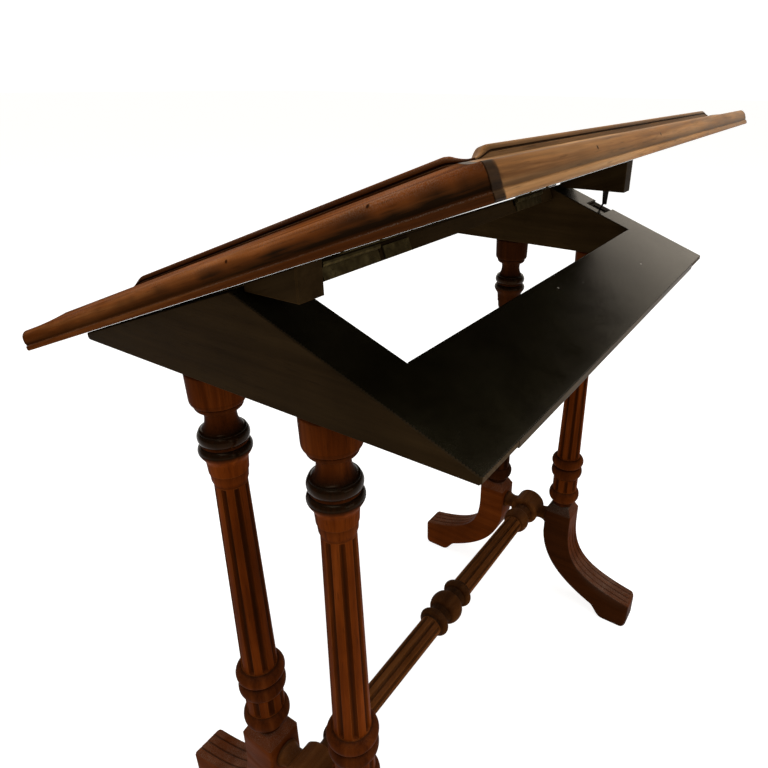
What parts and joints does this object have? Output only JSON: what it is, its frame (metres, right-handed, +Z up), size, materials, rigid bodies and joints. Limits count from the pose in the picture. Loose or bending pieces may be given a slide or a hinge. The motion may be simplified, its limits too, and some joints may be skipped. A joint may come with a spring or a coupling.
{
  "type": "reading stand",
  "caption": "Reading stand with a moulded top that tips on ridge hinges over an open triangular frame, on fluted turned columns, swept reeded feet and a turned stretcher.",
  "frame": {"origin": "on the floor under the middle of the stand's outline", "axes": "+Z up, +X along the ridge towards the end that is nearest in the picture, -Y the reader's side"},
  "size_m": [0.638, 0.4316, 0.77],
  "materials": {
    "turned_walnut": "polished red-brown walnut with dark patina in the grooves",
    "top_walnut": "polished streaky walnut, worn along the arrises",
    "dark_walnut": "dark stained walnut, satin",
    "ebonised_wood": "near-black stained wood, semi-gloss, dusty",
    "brass": "dull aged brass",
    "iron": "dark worked iron"
  },
  "bodies": {
    "frame": {"column_near_back": "turned_walnut", "column_near_front": "turned_walnut", "column_far_back": "turned_walnut", "column_far_front": "turned_walnut", "foot_near_back": "turned_walnut", "foot_near_front": "turned_walnut", "foot_far_back": "turned_walnut", "foot_far_front": "turned_walnut", "hub_near": "turned_walnut", "hub_far": "turned_walnut", "stretcher": "turned_walnut", "cheek_near": "dark_walnut", "cheek_far": "dark_walnut", "ridge_rail": "dark_walnut", "back_board": "ebonised_wood", "front_board": "ebonised_wood", "hinge_near_fixed_leaf": "brass", "hinge_far_fixed_leaf": "brass", "hinge_near_pin": "brass", "hinge_far_pin": "brass", "screw_near_rail_1": "brass", "screw_near_rail_2": "brass", "screw_far_rail_1": "brass", "screw_far_rail_2": "brass", "ridge_plate": "brass", "screw_plate_1": "brass", "screw_plate_2": "brass", "strike_plate": "iron"},
    "top": {"top_core": "top_walnut", "moulding_front": "top_walnut", "moulding_near": "top_walnut", "moulding_back": "top_walnut", "moulding_far": "top_walnut", "lip_front": "top_walnut", "lip_near": "top_walnut", "lip_back": "top_walnut", "lip_far": "top_walnut", "bearer_near": "dark_walnut", "bearer_far": "dark_walnut", "hinge_near_moving_leaf": "brass", "hinge_far_moving_leaf": "brass", "screw_near_top_1": "brass", "screw_near_top_2": "brass", "screw_far_top_1": "brass", "screw_far_top_2": "brass", "catch_pin": "iron"},
    "pawl": {"catch_pawl": "iron"}
  },
  "joints": [
    {"name": "top_tilt", "type": "hinge", "parent": "frame", "child": "top", "pos_m": [0, 0.01365, 0.6734], "axis": [-1, 0, 0], "range_deg": [0, 21.17]},
    {"name": "pawl_swing", "type": "hinge", "parent": "top", "child": "pawl", "pos_m": [-0.266, 0.07519, 0.6786], "axis": [-1, 0, 0], "range_deg": [-21.17, 0]}
  ],
  "couplings": [
    {"joint": "pawl_swing", "follows": "top_tilt", "ratio": -1}
  ]
}
